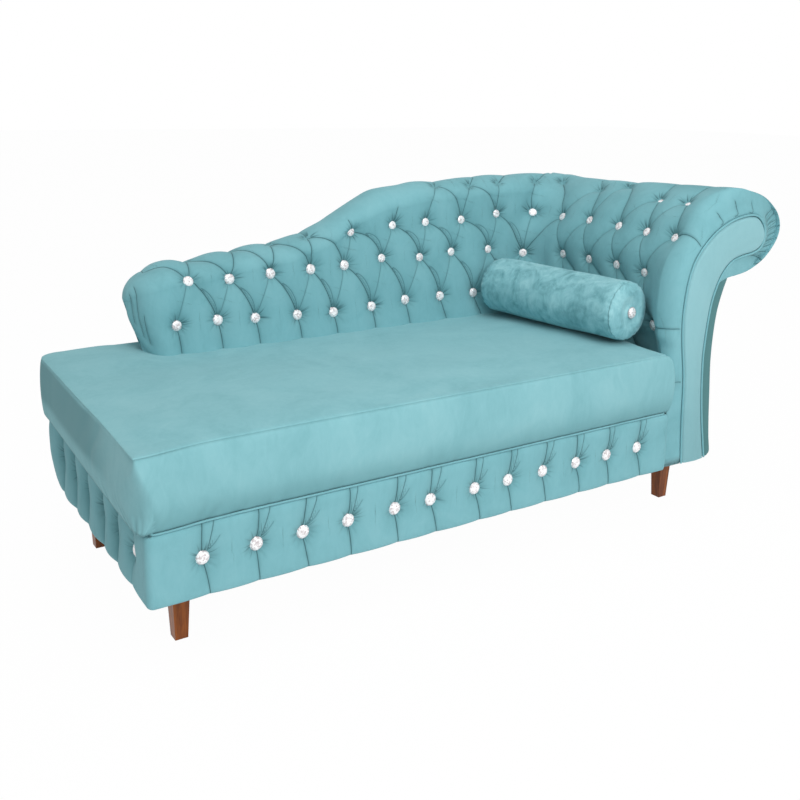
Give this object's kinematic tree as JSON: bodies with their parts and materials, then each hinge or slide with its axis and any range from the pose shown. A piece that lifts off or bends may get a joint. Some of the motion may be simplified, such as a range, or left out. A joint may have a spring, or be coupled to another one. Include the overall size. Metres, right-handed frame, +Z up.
{
  "type": "fainting couch",
  "caption": "Long low couch with a padded seat, a diamond-tufted back that rises in a curve to one rolled scroll arm, a buttoned base band, short tapered legs and a loose bolster.",
  "frame": {"origin": "middle of the couch's footprint, on the floor under its legs", "axes": "+X along the couch from its low left end to the scroll arm, +Y from the sitter's front edge to the back, +Z up"},
  "size_m": [1.835, 0.793, 0.883],
  "materials": {
    "velvet": "soft turquoise suede velvet with a faint mottled nap",
    "welt": "turquoise velvet piping, shaded",
    "crystal": "faceted clear crystal with a silvered back",
    "varnish": "reddish-brown varnished wood, satin",
    "timber": "plain sawn softwood",
    "steel": "plain steel",
    "lining": "thin black non-woven cloth"
  },
  "bodies": {
    "couch": {"front_rail": "timber", "rear_rail": "timber", "left_rail": "timber", "right_rail": "timber", "deck_slat_1": "timber", "deck_slat_2": "timber", "deck_slat_3": "timber", "deck_slat_4": "timber", "seat_deck": "timber", "leg_front_left": "varnish", "leg_rear_left": "varnish", "leg_front_right": "varnish", "leg_rear_right": "varnish", "leg_block_front_left": "timber", "leg_block_rear_left": "timber", "leg_block_front_right": "timber", "leg_block_rear_right": "timber", "leg_bolt_front_left": "steel", "leg_bolt_rear_left": "steel", "leg_bolt_front_right": "steel", "leg_bolt_rear_right": "steel", "dust_cover": "lining", "front_band_pad": "velvet", "end_band_pad": "velvet", "band_crystal_01": "crystal", "band_crystal_02": "crystal", "band_crystal_03": "crystal", "band_crystal_04": "crystal", "band_crystal_05": "crystal", "band_crystal_06": "crystal", "band_crystal_07": "crystal", "band_crystal_08": "crystal", "band_crystal_09": "crystal", "band_crystal_10": "crystal", "band_crystal_11": "crystal", "band_crystal_12": "crystal", "seat_cushion": "velvet", "back_pad": "velvet", "back_board": "timber", "back_rear_panel": "velvet", "base_rear_panel": "velvet", "arm_pad": "velvet", "arm_front_board": "timber", "arm_rear_board": "timber", "arm_rear_panel": "velvet", "arm_front_panel": "velvet", "arm_front_welt": "welt", "arm_front_strip": "velvet", "arm_outside_panel": "velvet", "arm_seat_rail": "timber", "arm_waist_rail": "timber", "arm_scroll_rail": "timber", "arm_tip_rail": "timber"},
    "bolster": {"bolster_body": "velvet", "bolster_cap_front": "velvet", "bolster_cap_rear": "velvet", "bolster_crystal_front": "crystal", "bolster_crystal_rear": "crystal"}
  },
  "joints": [
    {"name": "bolster_lift", "type": "slide", "parent": "couch", "child": "bolster", "axis": [0, 0, 1], "range_m": [0, 0.4]}
  ]
}
